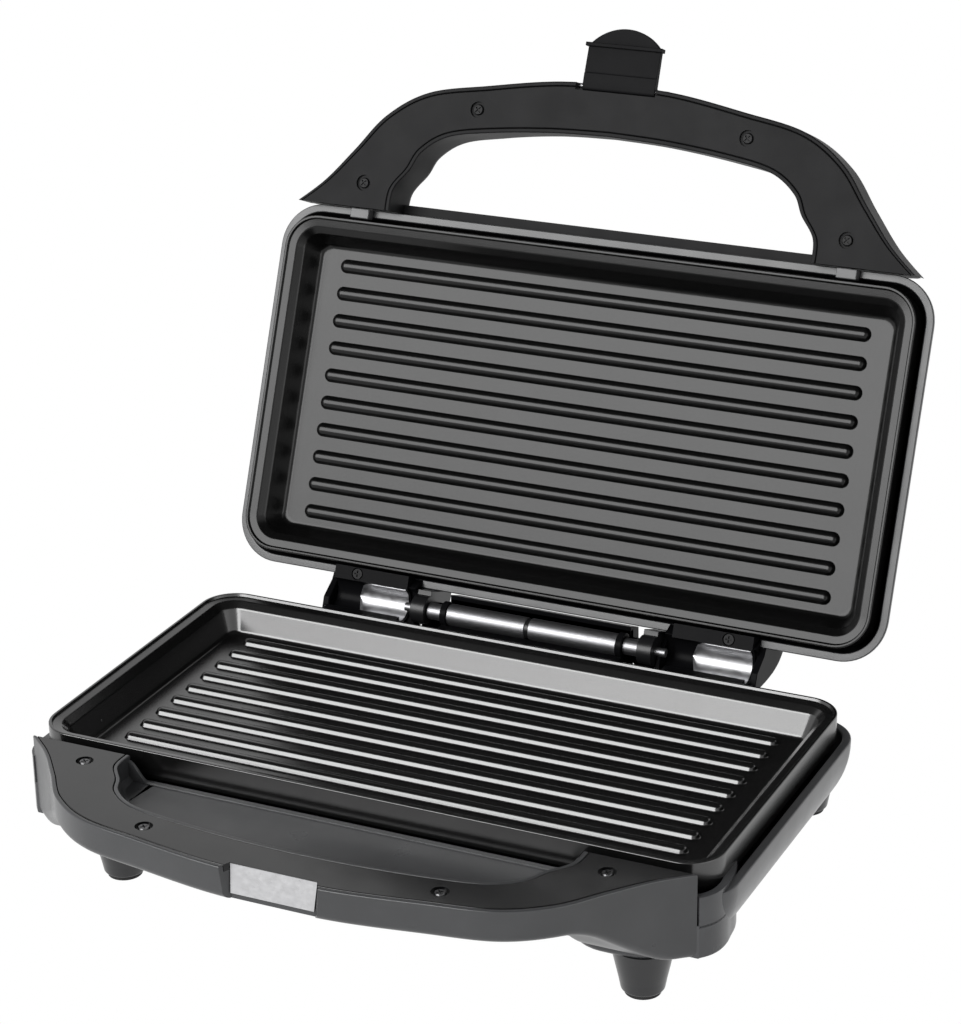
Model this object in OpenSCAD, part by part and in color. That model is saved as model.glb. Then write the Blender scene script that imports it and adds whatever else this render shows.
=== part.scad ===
// Electric sandwich toaster with two deep ribbed plates, shown with its lid standing open.
// The lower half is drawn below a parting plane through the hinge axis and the lid above it.

/* [Pose] */
// Angle at which the open lid stands, in degrees
open_angle = 112.7; // [104:0.1:113]
// Height of the hinge axis and of the parting plane above the table
hinge_h = 69; // [67:0.5:75]
// Distance from the middle of the part to the hinge axis, front to back
hinge_y = 66.7; // [60:0.1:75]
// Clear space between the two halves when the lid is shut
parting_gap = 0.8; // [0.7:0.1:1.6]

/* [Plates] */
// Width of a plate over its skirt
plate_w = 310; // [300:1:312]
// Depth of a plate over its skirt
plate_d = 159; // [157:1:160]
// Distance from the hinge axis to the rear edge of a plate
plate_setback = 15; // [15:0.5:16]
// Corner radius of a plate's skirt
plate_r = 16; // [14:0.5:18]
// Depth of the well below the parting plane
well_depth = 18.7; // [17:0.1:19.5]
// Thickness of the cast plate
plate_t = 2.6; // [2:0.1:3]
// Height of the skirt
skirt_h = 8.5; // [8:0.1:9]
// Thickness of the skirt
skirt_t = 2; // [1.6:0.1:2.2]
// Width of the raised lip
lip_w = 1.2; // [1:0.1:1.5]
// Width of the sloped band inside the lip
band_w = 2.8; // [2.2:0.1:3]
// Width of the flat rim round the well
rim_w = 2.5; // [2:0.1:3]
// Depth of the flat rim below the parting plane
rim_drop = 2; // [1.6:0.1:2.4]
// Lean of the well's wall, from its top to its foot
wall_lean = 7.6; // [6:0.1:9]
// Corner radius of the well's floor
well_r = 5.5; // [4:0.5:7]
// Number of ribs across a plate
rib_count = 10; // [6:1:10]
// Distance from one rib to the next
rib_pitch = 13; // [11:0.1:13.2]
// Length of a rib
rib_l = 261; // [220:1:264]
// Width of a rib at its foot
rib_w = 6; // [5:0.1:7]
// Height of a rib
rib_h = 2.3; // [1.8:0.1:2.8]
// Distance from a plate's rear edge to its rearmost rib
rib_start = 20.5; // [19:0.5:22]

/* [Housings] */
// Clear groove between a plate's skirt and the housing's wall
groove_w = 3; // [2.5:0.1:3.2]
// Wall of both housings
housing_t = 2.8; // [2.4:0.1:3]
// How far a plate stands proud of its housing
plate_proud = 8; // [7.5:0.1:8.2]
// Corner radius of the housings
housing_r = 20.5; // [19:0.5:22]
// Depth of the lower tub below the hinge axis
tub_depth = 48; // [46:0.5:49]
// How far the tub's side curves in at the bottom
side_curve = 30; // [26:0.5:32]
// How far the tub's front and rear curve in at the bottom
end_curve = 14; // [10:0.5:16]
// Height of the lid's dome above the parting plane
dome_h = 44; // [42:0.5:46]
// How far the tub reaches behind the hinge axis
tail_y = 18; // [16:0.5:19]
// Depth of the tail's top below the hinge axis
tail_top = 22; // [21:0.5:24]
// Width of the tail
tail_w = 286; // [276:1:290]
// Outer half width of the front corners
cheek_x = 157.6; // [156:0.1:158.6]

/* [Feet] */
// Half distance between the front feet
front_foot_x = 121.5; // [118:0.5:124]
// Distance from the housing's front to the front feet
front_foot_y = 17.4; // [16:0.2:20]
// Half distance between the rear feet
rear_foot_x = 129; // [124:0.5:130]
// Distance of the rear feet behind the hinge axis
rear_foot_y = 10; // [8:0.5:10.5]
// Radius of a foot where it leaves the housing
foot_top_r = 13.2; // [12:0.1:13.5]
// Radius of a foot at its sole
foot_sole_r = 8.6; // [8:0.1:10]
// Thickness of the rubber sole
sole_t = 1.8; // [1.5:0.1:2.5]

/* [Handles] */
// Distance from the hinge axis to the front of the handles
handle_reach = 249; // [246:0.5:250]
// Distance from the handles' front to the inner edge of the grip
grip_inner = 24; // [22:0.5:26]
// Depth of the lower handle's bar
lower_bar_h = 15.1; // [14:0.1:16]
// Depth of the lower handle's ends and of the housing's front corners behind them
lower_leg_h = 37.5; // [36:0.5:39]
// Thickness of the upper handle's bar
upper_bar_h = 13; // [12.6:0.1:14]
// Thickness of the upper handle's ends
upper_leg_h = 29; // [26:0.5:30]
// Half width of the lower handle's level bar
lower_bar_x = 114; // [110:0.5:118]
// Half width at which the lower handle's ends reach their full depth
lower_leg_x = 146; // [142:0.5:150]
// Half width of the upper handle's level bar
upper_bar_x = 10; // [6:1:20]
// Half width at which the upper handle's ends reach their full thickness
upper_leg_x = 112; // [106:1:118]
// Thickness of the screwed handle covers
cover_t = 3; // [2.5:0.1:3.4]
// Width of the shell's rim round a cover
cover_rim = 1.9; // [1.6:0.1:2.2]
// Clear seam round a cover
seam = 0.25; // [0.2:0.05:0.4]
// Depth of the finger pocket's floor below the hinge axis
pocket_z = 11.6; // [10.5:0.1:12]
// Thickness of the finger pocket's floor
pocket_t = 3; // [2:0.1:3.2]
// Radius of a handle screw's head
screw_head_r = 2.6; // [2.4:0.1:2.8]
// Radius of a handle screw's shank
screw_r = 1.5; // [1.3:0.05:1.6]
// Length of a handle screw's shank
screw_l = 9; // [7:0.5:9.5]

/* [Latch] */
// Width of the latch
latch_w = 35.4; // [33:0.2:36]
// Thickness of the latch
latch_t = 2.2; // [1.8:0.1:2.4]
// Distance from the latch's pivot to its hook
latch_l = 18.9; // [18.6:0.1:19.6]
// Length of the latch's thumb tab beyond its hook
tab_l = 8.5; // [7:0.1:10]
// Width of the latch's recess in both handles
recess_w = 39; // [38:0.2:40]
// Radius of the latch's pivot pin
latch_pin_r = 1.25; // [1.1:0.05:1.3]
// Length of the latch's pivot pin
latch_pin_l = 48; // [44:1:56]
// Height of the latch's pivot above the parting plane when shut
latch_pivot_z = 6; // [5.8:0.1:6.6]
// Distance from the handles' front to the latch's pivot
latch_pivot_y = 1.6; // [1.2:0.1:1.8]

/* [Hinge] */
// Radius of the hinge rod
rod_r = 2; // [1.6:0.1:2.2]
// Radius of the barrel round the rod
barrel_r = 5; // [4.5:0.1:5.3]
// Length of the barrel
barrel_l = 84; // [80:1:86]
// Width of a collar at the end of the barrel
collar_w = 3; // [2.5:0.1:3.5]
// Length of the bright shoulder beside a collar
shoulder_l = 7.4; // [6.5:0.1:8]
// Width of a knuckle on the lid
knuckle_w = 7; // [6:0.1:7.5]
// Outer radius of a knuckle on the lid
knuckle_r = 6.5; // [6:0.1:6.8]
// Half distance to the inner side of a hinge ear
ear_in = 60; // [59.8:0.1:61]
// Half distance to the outer side of a hinge ear
ear_out = 108; // [104:0.5:110]
// Inner radius of the scoop in a hinge cover
scoop_r = 7.6; // [7.4:0.1:8]
// Thickness of a hinge cover
scoop_t = 1; // [0.8:0.1:1.1]
// Length of a hinge screw's shank
hinge_screw_l = 11; // [9:0.5:11.5]
// Half distance between the hinge screws
hinge_screw_x = 92.4; // [88:0.2:94]

/* [Inside] */
// Radius of a heating element's tube
element_r = 3.3; // [3:0.1:3.5]
// Half distance between a heating element's long runs
element_b = 36; // [30:1:38]
// Half length of a heating element's long runs
element_l = 96; // [88:1:98]
// Radius of a heating element's bends
element_bend = 12; // [10:0.5:14]
// Half distance between the plate posts, side to side
post_x = 100; // [94:1:104]
// Half distance between the plate posts, front to back
post_y = 48; // [44:1:50]
// Thickness of a reflector's sheet
reflector_t = 1; // [0.8:0.1:1.2]
// Radius of the cord inlet's bore
cord_r = 3.9; // [3:0.1:4.2]
// Radius of an indicator lens on the lid
lens_r = 4; // [3:0.1:5]

/* [Hidden] */
run_fit = 0.05;
seat = 0.1;
half_gap = parting_gap / 2;
pa = plate_w / 2;
pb = plate_d / 2;
pc = -(plate_setback + pb);
ha = pa + groove_w + housing_t;
hb = pb + groove_w + housing_t;
edge_z = -plate_proud;
front_y = pc - hb;
rear_y = pc + hb;
floor_in = lip_w + band_w + rim_w + wall_lean;
under_z = -(well_depth + plate_t);
element_z = under_z - element_r - seat;
tray_z = element_z - element_r - seat;
post_z = tray_z - reflector_t;
tub_floor = -(tub_depth - housing_t);
catch_z = latch_pivot_z - latch_l + 1.3;
pivot_y = handle_reach - latch_pivot_y;
foot_y = front_y + front_foot_y;
rib_rows = min(rib_count, 1 + floor((plate_d - rib_start - floor_in - rib_w / 2 - 0.5) / rib_pitch));
handle_l = handle_reach + front_y;
grip_l = handle_l - grip_inner;
recess_in = 6;
rim_lip = 1;
recess_lean = 2.2;
tab_w = 9.5;
tab_x = 115;
lower_col = [0.2, 0.205, 0.215];
black = [0.05, 0.05, 0.055];
steel = [0.72, 0.73, 0.75];

// Points of a rounded rectangle round (cx, cy), with n steps in each corner
function ring(a, b, r, z, cx, cy, n) = [for (c = [0:3], i = [0:n])
    let (t = 90 * c + 90 * i / n,
        sx = (c == 0 || c == 3) ? 1 : -1,
        sy = (c < 2) ? 1 : -1)
    [cx + sx * (a - r) + r * cos(t), cy + sy * (b - r) + r * sin(t), z]];

// A closed skin through rings with the same number of points, the first and last filled
module loft(rings) {
    m = len(rings[0]);
    k = len(rings);
    pts = [for (g = rings) each g];
    sides = [for (j = [0:k - 2], i = [0:m - 1], half = [0, 1])
        half == 0 ? [j * m + i, (j + 1) * m + i, (j + 1) * m + (i + 1) % m]
            : [j * m + i, (j + 1) * m + (i + 1) % m, j * m + (i + 1) % m]];
    low = [for (i = [0:m - 1]) i];
    high = [for (i = [m - 1:-1:0]) (k - 1) * m + i];
    polyhedron(points = pts, faces = concat(sides, [low, high]), convexity = 8);
}

// Smooth step from 0 to 1
function step01(t) = t <= 0 ? 0 : t >= 1 ? 1 : t * t * (3 - 2 * t);

// Smooth curve through points, with n steps between each pair
function curve_at(p, i, t) =
    let (a = p[max(i - 1, 0)], b = p[i], c = p[i + 1], d = p[min(i + 2, len(p) - 1)])
    0.5 * (2 * b + t * (c - a) + t * t * (2 * a - 5 * b + 4 * c - d)
        + t * t * t * (3 * b - a - 3 * c + d));
function curve(p, n) = concat([for (i = [0:len(p) - 2], j = [0:n - 1]) curve_at(p, i, j / n)],
    [p[len(p) - 1]]);

// The lower half's place, and the lid's place: shut it mirrors the lower half
module in_base() {
    translate([0, hinge_y, hinge_h]) children();
}

module in_lid() {
    translate([0, hinge_y, hinge_h]) rotate([-open_angle, 0, 0]) children();
}

module flip() {
    mirror([0, 0, 1]) children();
}

module both_sides() {
    children();
    mirror([1, 0, 0]) children();
}

// Plates
function pan_ring(d, z, least) = ring(pa - d, pb - d, max(plate_r - d, least), z, 0, pc, 5);

boss_r = 5;

module plate_points() {
    for (x = [-post_x, post_x], y = [-post_y, post_y]) translate([x, pc + y, 0]) children();
}

module pan() {
    top = -half_gap;
    loft([
        pan_ring(floor_in - 1.4, under_z, well_r),
        pan_ring(floor_in - 3.2, under_z + 1.4, well_r + 1),
        pan_ring(lip_w + band_w + rim_w - 2.2, -rim_drop - plate_t + 0.2, 7),
        pan_ring(skirt_t, -rim_drop - plate_t + 0.4, 7),
        pan_ring(skirt_t, -skirt_h, 7),
        pan_ring(0.1, -skirt_h, 7),
        pan_ring(0, top - 0.6, 7),
        pan_ring(0.3, top, 7),
        pan_ring(lip_w, top, 7),
        pan_ring(lip_w + 0.6, 0.5 - rim_drop, 7),
        pan_ring(lip_w + band_w, 0.1 - rim_drop, 7),
        pan_ring(lip_w + band_w + rim_w - 0.4, -rim_drop - 0.1, well_r + 3),
        pan_ring(lip_w + band_w + rim_w + 0.3, -rim_drop - 0.7, well_r + 3),
        pan_ring(floor_in - 1, 2.4 - well_depth, well_r),
        pan_ring(floor_in, 0.6 - well_depth, well_r),
        pan_ring(floor_in + 1.6, -well_depth, well_r)]);
}

module rib() {
    hw = rib_w / 2;
    hl = rib_l / 2;
    z0 = -well_depth;
    loft([
        ring(hl, hw, hw - 0.05, z0 - 0.6, 0, 0, 2),
        ring(hl, hw, hw - 0.05, z0 + 0.2, 0, 0, 2),
        ring(hl - 0.9, hw - 0.9, hw - 0.95, z0 + rib_h * 0.72, 0, 0, 2),
        ring(hl - 2, hw - 2, hw - 2.05, z0 + rib_h, 0, 0, 2)]);
}

module cooking_plate() {
    difference() {
        union() {
            pan();
            for (i = [0:rib_rows - 1]) {
                translate([0, -plate_setback - rib_start - i * rib_pitch, 0]) rib();
            }
            plate_points() translate([0, 0, tray_z])
                cylinder(h = under_z - tray_z + 1, r = boss_r, $fn = 32);
        }
        plate_points() translate([0, 0, tray_z - 1])
            cylinder(h = under_z - tray_z + 0.6, r = screw_r + run_fit, $fn = 32);
    }
}

module plate_screws() {
    plate_points() {
        translate([0, 0, post_z]) cylinder(h = under_z - post_z - 1, r = screw_r, $fn = 32);
        translate([0, 0, post_z - 2.4]) cylinder(h = 2.4, r = 3.4, $fn = 32);
    }
}

// Heating element: one long loop with two cold ends that turn down beside the rear run
module heating_element() {
    el = element_l;
    r = element_bend;
    translate([0, pc, element_z]) {
        both_sides() {
            translate([0, -element_b, 0]) rotate([0, 90, 0]) cylinder(h = el, r = element_r, $fn = 32);
            translate([el, r - element_b, 0]) rotate([0, 0, -90]) element_corner(r);
            translate([el + r, r - element_b, 0]) rotate([-90, 0, 0])
                cylinder(h = 2 * (element_b - r), r = element_r, $fn = 32);
            translate([el, element_b - r, 0]) element_corner(r);
            translate([14, element_b, 0]) rotate([0, 90, 0])
                cylinder(h = el - 14, r = element_r, $fn = 32);
            translate([4, element_b, 0]) rotate([0, 90, 0]) cylinder(h = 10, r = 1.4, $fn = 24);
        }
    }
}

module element_corner(r) {
    rotate_extrude(angle = 90, $fn = 32) translate([r, 0]) circle(r = element_r, $fn = 32);
}

module reflector() {
    a = pa - floor_in - 6;
    b = pb - floor_in - 6;
    difference() {
        translate([-a, pc - b, post_z]) cube([2 * a, 2 * b, reflector_t + 4]);
        translate([-a + reflector_t, pc - b + reflector_t, tray_z])
            cube([2 * (a - reflector_t), 2 * (b - reflector_t), 5]);
        plate_points() translate([0, 0, post_z - 1]) cylinder(h = 4, r = screw_r + run_fit, $fn = 32);
        translate([-20, pc + element_b - 8, post_z - 1]) cube([40, 16, 4]);
    }
}

// Posts that carry the reflector and take the screw heads
module posts() {
    plate_points() {
        difference() {
            translate([0, 0, tub_floor - 1]) cylinder(h = post_z - tub_floor + 1, r = 6, $fn = 32);
            translate([0, 0, post_z - 3]) cylinder(h = 4, r = 3.6, $fn = 32);
        }
    }
}

// Tub and dome
function tub_ring(t, d, n) = ring(
    ha - d - side_curve * (1 - cos(t)),
    hb - d - end_curve * (1 - cos(t)),
    housing_r - d / 2, edge_z - 2 - (tub_depth - plate_proud - 2 - d) * sin(t), 0, pc, n);

module tub(d) {
    lip = d > 0 ? rim_lip : 0;
    loft(concat(
        [for (t = [90, 75, 60, 42, 22, 6]) tub_ring(t, d, 6)],
        [ring(ha - d - lip, hb - d - lip, housing_r - d / 2, edge_z - 2, 0, pc, 6),
        ring(ha - d - lip, hb - d - lip, housing_r - d / 2, edge_z + lip, 0, pc, 6)]));
}

function dome_ring(inset, z, d) =
    ring(ha - d - inset, hb - d - inset * 0.8, housing_r - d / 2, z, 0, pc, 6);

module dome(d) {
    lip = d > 1 ? rim_lip : 0;
    loft([
        dome_ring(62, d - dome_h, d),
        dome_ring(34, 1.4 - dome_h + d, d),
        dome_ring(20, 5 - dome_h + d, d),
        dome_ring(11, edge_z - 27 + d * 0.8, d),
        dome_ring(5.6, edge_z - 20 + d / 2, d),
        dome_ring(1.2, edge_z - 6, d),
        dome_ring(lip, edge_z - 2, d),
        dome_ring(lip, edge_z + lip, d)]);
}

module tail(d) {
    a = tail_w / 2 - d;
    loft([
        ring(a - 6, 34 - d, 18 - d, -tub_depth - 1 + d, 0, tail_y - 40, 6),
        ring(a - 1, 39 - d, 20 - d, -tub_depth + 5 + d, 0, tail_y - 40, 6),
        ring(a, 40 - d, 20 - d, -tail_top - 2 - d, 0, tail_y - 40, 6),
        ring(a - 2, 39 - d, 20 - d, -tail_top - d, 0, tail_y - 40, 6)]);
}

// Front corner: a column that carries on the handle's end, and a pad over the front foot
module cheek() {
    pad_x = front_foot_x - 7.5;
    pad_y = foot_y + 7.4;
    x = cheek_x;
    y = front_y;
    translate([0, 0, -lower_leg_h]) linear_extrude(height = lower_leg_h - 16) polygon([
        [104, y],
        [x - 7.4, y],
        [x - 4, y + 3.8],
        [x - 1.4, y + 8.8],
        [x - 0.2, y + 14.8],
        [x, y + 20.8],
        [x - 1, y + 28.3],
        [x - 3.7, y + 35.8],
        [x - 8.6, y + 41.5],
        [x - 15.6, y + 45.3],
        [x - 25.6, y + 47.8],
        [108, y + 47.8],
        [104, y + 30]]);
    loft([
        ring(19.4, 18, 12.4, -tub_depth, pad_x, pad_y, 6),
        ring(21.4, 20, 14.4, 0.9 - tub_depth, pad_x, pad_y, 6),
        ring(22, 20.6, 15, 3.2 - tub_depth, pad_x, pad_y, 6),
        ring(22, 20.6, 15, 20 - tub_depth, pad_x, pad_y, 6)]);
}

// Foot: a tapered post with a rounded edge, standing on a rubber sole
module foot(drop) {
    difference() {
        foot_profile(drop);
        translate([0, 0, -1]) cylinder(h = sole_t + 6, r = 2.5 + run_fit, $fn = 32);
    }
}

module foot_profile(drop) {
    rotate_extrude($fn = 48) polygon([
        [0, drop],
        [foot_top_r, drop],
        [foot_sole_r + 1.2, sole_t + 5],
        [foot_sole_r + 0.6, sole_t + 2.2],
        [foot_sole_r - 0.4, sole_t + 0.4],
        [foot_sole_r - 1, sole_t],
        [0, sole_t]]);
}

module foot_places() {
    both_sides() {
        translate([front_foot_x, foot_y, -hinge_h]) children(0);
        translate([rear_foot_x, rear_foot_y, -hinge_h]) children(1);
    }
}

module feet() {
    color(lower_col) in_base() foot_places() {
        foot(hinge_h - tub_depth);
        foot(hinge_h - tub_depth - 1);
    }
}

module foot_soles() {
    color(black) in_base() foot_places() {
        sole();
        sole();
    }
}

module sole() {
    cylinder(h = sole_t, r = foot_sole_r - 1, $fn = 48);
    translate([0, 0, sole_t - 0.5]) cylinder(h = 4.5, r = 2.5, $fn = 32);
}

module hinge_boss(r, h) {
    both_sides() translate([hinge_screw_x, rear_y - 1.6, edge_z - h]) cylinder(h = h, r = r, $fn = 32);
}

module base_housing() {
    color(lower_col) in_base() difference() {
        union() {
            difference() {
                union() {
                    tub(0);
                    tail(0);
                    both_sides() cheek();
                }
                tub(housing_t);
            }
            posts();
            hinge_boss(3.3, 14);
            both_sides() translate([rear_foot_x, rear_foot_y, -tub_depth - 1])
                cylinder(h = 18, r = foot_top_r, $fn = 48);
        }
        tail_cavity();
        hinge_screw_holes(14);
        translate([cord_x, tail_y - 8, cord_z]) rotate([-90, 0, 0])
            cylinder(h = 20, r = cord_r + 2.1 + run_fit, $fn = 48);
    }
}

cord_x = 60;
cord_z = -36;

module tail_cavity() {
    translate([-118, rear_y - 12, -tub_depth + 3])
        cube([236, tail_y - rear_y + 8, tub_depth - tail_top - 6]);
}

module hinge_screw_holes(h) {
    both_sides() translate([hinge_screw_x, rear_y - 1.6, edge_z - h + 3])
        cylinder(h = h, r = 1.3 + run_fit, $fn = 24);
}

module lower_cooking_plate() {
    color([0.07, 0.07, 0.075]) in_base() cooking_plate();
}

module lower_heating_element() {
    color(steel) in_base() heating_element();
}

module lower_reflector() {
    color(steel) in_base() reflector();
}

module lower_plate_screws() {
    color(steel) in_base() plate_screws();
}

// Disc thermostat and tube fuse, both held on the lower reflector
module thermostat() {
    color([0.85, 0.84, 0.8]) in_base() translate([-50, pc, post_z - 5]) {
        cylinder(h = 5, r = 8, $fn = 48);
        translate([0, 0, -4]) cylinder(h = 4, r = 6.5, $fn = 48);
        translate([-4.5, -1, -9]) cube([1, 5, 6]);
        translate([3.5, -1, -9]) cube([1, 5, 6]);
    }
}

module thermal_fuse() {
    color([0.8, 0.78, 0.7]) in_base() translate([40, pc + 10, post_z - 4.2]) {
        rotate([0, 90, 0]) cylinder(h = 14, r = 2, $fn = 32);
        translate([1, -2.5, 1]) cube([12, 5, 3.2]);
    }
}

module terminal_block() {
    color([0.9, 0.89, 0.85]) in_base() translate([18, -4, -tub_depth + 3]) {
        difference() {
            cube([30, 16, 11]);
            translate([-1, 5, 5]) rotate([0, 90, 0]) cylinder(h = 32, r = 1.6, $fn = 24);
            for (i = [0:2]) translate([5 + i * 10, 8, 6]) cylinder(h = 8, r = 2, $fn = 24);
        }
    }
}

// Bushing where the supply cord leaves the tail
module cord_gland() {
    color(black) in_base() translate([cord_x, tail_y - 0.6, cord_z]) rotate([-90, 0, 0]) difference() {
        union() {
            translate([0, 0, -6]) cylinder(h = 10, r = cord_r + 2.1, $fn = 48);
            translate([0, 0, 1]) cylinder(h = 3, r = cord_r + 4, $fn = 48);
        }
        translate([0, 0, -8]) cylinder(h = 16, r = cord_r, $fn = 48);
    }
}

// Handles: a bar that sweeps back into two legs, one section for each step along its outline
outer_line = [
    [0, front_y - handle_l],
    [30, front_y - 0.978 * handle_l],
    [62, front_y - 0.906 * handle_l],
    [92, front_y - 0.819 * handle_l],
    [112, front_y - 0.639 * handle_l],
    [126, front_y - 0.386 * handle_l],
    [139.6, front_y - 0.152 * handle_l],
    [155.5, front_y + 3]];
inner_line = [
    [0, front_y - grip_l],
    [28, front_y - 0.978 * grip_l],
    [58, front_y - 0.911 * grip_l],
    [79, front_y - 0.823 * grip_l],
    [91, front_y - 0.646 * grip_l],
    [96, front_y - 0.447 * grip_l],
    [103, front_y - 0.226 * grip_l],
    [103.5, front_y + 3]];
line_steps = 3;
outer_half = curve(outer_line, line_steps);
inner_half = curve(inner_line, line_steps);
stations = len(outer_half) - 1;

function leg_depth(x, bar, leg, x0, x1) = bar + (leg - bar) * step01((x - x0) / (x1 - x0));

// A section is a list of [distance in from the outer line, distance in from the inner line, z];
// one of the two distances is used, whichever is not undef
function place(o, i, s, sx) =
    let (w = norm(i - o), u = (i - o) / w,
        p = is_undef(s[0]) ? i - u * s[1] : o + u * s[0])
    [sx * p[0], p[1], s[2]];

module sweep_handle(sections) {
    loft([for (k = [-stations:stations])
        let (j = abs(k), sx = k < 0 ? -1 : 1, o = outer_half[j], i = inner_half[j])
        [for (s = sections(j)) place(o, i, s, sx)]]);
}

function shell_section(h) = [
    [0.5, undef, -half_gap],
    [0, undef, -half_gap - 0.8],
    [0.2, undef, -h + 4.5],
    [1.6, undef, -h + 1.2],
    [5, undef, -h],
    [undef, 4, -h],
    [undef, 1.2, -h + 1],
    [undef, 0, -h + 3.5],
    [undef, 0, -half_gap - 0.8],
    [undef, 0.5, -half_gap]];

function bed_section() = [
    [cover_rim, undef, 2],
    [cover_rim, undef, -half_gap - cover_t],
    [undef, cover_rim, -half_gap - cover_t],
    [undef, cover_rim, 2]];

function cover_section() = [
    [cover_rim + seam, undef, -half_gap - 0.4],
    [cover_rim + seam, undef, -half_gap - cover_t],
    [undef, cover_rim + seam, -half_gap - cover_t],
    [undef, cover_rim + seam, -half_gap - 0.4],
    [undef, cover_rim + seam + 0.4, -half_gap],
    [cover_rim + seam + 0.4, undef, -half_gap]];

module handle_bar(bar, leg, x0, x1) {
    sweep_handle(function(j) shell_section(leg_depth(outer_half[j][0], bar, leg, x0, x1)));
}

module cover_bed() {
    sweep_handle(function(j) bed_section());
}

module handle_lid() {
    sweep_handle(function(j) cover_section());
}

handle_screw_at = [[118.6, front_y - 0.169 * handle_l], [66, front_y - 0.74 * handle_l]];

module handle_screw_points() {
    both_sides() for (p = handle_screw_at) translate([p[0], p[1], 0]) children();
}

module screw_bores() {
    handle_screw_points() translate([0, 0, -cover_t - screw_l - 1])
        cylinder(h = screw_l + 2, r = screw_r + run_fit, $fn = 24);
}

module cover_holes() {
    handle_screw_points() {
        translate([0, 0, -half_gap - 1.2]) cylinder(h = 4, r = screw_head_r + 1.15, $fn = 32);
        translate([0, 0, -6]) cylinder(h = 8, r = screw_r + run_fit, $fn = 24);
    }
}

module handle_screws() {
    handle_screw_points() difference() {
        union() {
            translate([0, 0, -half_gap - 1.2])
                cylinder(h = 1, r1 = screw_head_r, r2 = screw_head_r - 0.5, $fn = 32);
            translate([0, 0, -cover_t - screw_l])
                cylinder(h = screw_l + cover_t - half_gap - 1, r = screw_r, $fn = 32);
        }
        for (a = [0, 90]) rotate([0, 0, a + 45]) translate([-1.6, -0.3, -half_gap - 0.8])
            cube([3.2, 0.6, 2]);
    }
}

// Recess for the latch: its face leans back a little and its sides may flare out to the front
module latch_recess(depth, flare) {
    hw = recess_w / 2;
    y0 = recess_in - handle_reach;
    y1 = y0 - recess_lean;
    rotate([90, 0, 90]) translate([0, 0, -hw]) linear_extrude(height = recess_w) polygon([
        [y0, 1],
        [y0, -half_gap],
        [y1, -depth],
        [y1 - 15, -depth],
        [y1 - 15, 1]]);
    if (flare > 0) {
        translate([0, 0, -depth]) linear_extrude(height = depth + 1) polygon([
            [-hw, y1],
            [-hw - flare, -handle_reach - 0.6],
            [hw + flare, -handle_reach - 0.6],
            [hw, y1]]);
    }
}

module pocket_floor() {
    pts = [for (j = [0:stations]) inner_half[j] - [0, 1.5]];
    left = [for (j = [stations:-1:1]) [-pts[j][0] - 1.5, pts[j][1]]];
    right = [for (j = [0:stations]) [pts[j][0] + 1.5, pts[j][1]]];
    translate([0, 0, -pocket_z - pocket_t]) linear_extrude(height = pocket_t) intersection() {
        polygon(concat(left, right));
        translate([-120, -handle_reach]) square([240, handle_reach + front_y - 1]);
    }
    both_sides() translate([0, front_y - 0.4, 0]) rotate([90, 0, 0])
        linear_extrude(height = 1.4) polygon([
        [92, -pocket_z - 1],
        [96, 0.6 - pocket_z],
        [98.4, 1.8 - pocket_z],
        [100.4, 4.8 - pocket_z],
        [102.2, 8 - pocket_z],
        [104, 9.2 - pocket_z],
        [105, 9.2 - pocket_z],
        [105, -pocket_z - 1]]);
}

module lower_handle_shell() {
    color(lower_col) in_base() difference() {
        union() {
            handle_bar(lower_bar_h, lower_leg_h, lower_bar_x, lower_leg_x);
            pocket_floor();
        }
        cover_bed();
        latch_recess(lower_bar_h + 1, 3);
        translate([-recess_w / 2, 2 - handle_reach, catch_z - 6]) cube([recess_w, recess_in, 6]);
        screw_bores();
        handle_cut();
    }
}

// Keeps the handles clear of the housings' front walls
module handle_cut() {
    translate([-200, front_y - 0.2, -60]) cube([400, 60, 120]);
}

module lower_handle_cover() {
    color(lower_col) in_base() difference() {
        handle_lid();
        cover_holes();
        latch_recess(lower_bar_h + 1, 3);
        handle_cut();
    }
}

module lower_handle_screws() {
    color(steel) in_base() handle_screws();
}

// Hinge: a rod through a barrel on the tail's bracket and through the lid's knuckles
module tube(x0, x1, r, bore) {
    difference() {
        translate([x0, 0, 0]) rotate([0, 90, 0]) cylinder(h = x1 - x0, r = r, $fn = 48);
        translate([x0 - 1, 0, 0]) rotate([0, 90, 0]) cylinder(h = x1 - x0 + 2, r = bore, $fn = 48);
    }
}

hb_x = barrel_l / 2;
shoulder_x0 = hb_x + collar_w;
shoulder_x1 = shoulder_x0 + shoulder_l;
knuckle_x0 = shoulder_x1 + 0.4;
knuckle_x1 = knuckle_x0 + knuckle_w;

module hinge_barrel() {
    color(steel) in_base() {
        tube(-hb_x, -3, barrel_r, rod_r + run_fit);
        tube(-1, hb_x, barrel_r, rod_r + run_fit);
    }
}

module hinge_barrel_collar() {
    color(black) in_base() tube(-3, -1, barrel_r - 0.5, rod_r + run_fit);
}

module hinge_rod() {
    color(steel) in_base() {
        translate([-knuckle_x1 - 5, 0, 0]) rotate([0, 90, 0])
            cylinder(h = 2 * (knuckle_x1 + 5), r = rod_r, $fn = 48);
        both_sides() translate([shoulder_x0, 0, 0]) rotate([0, 90, 0])
            cylinder(h = shoulder_l, r = 3.8, $fn = 48);
    }
}

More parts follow.
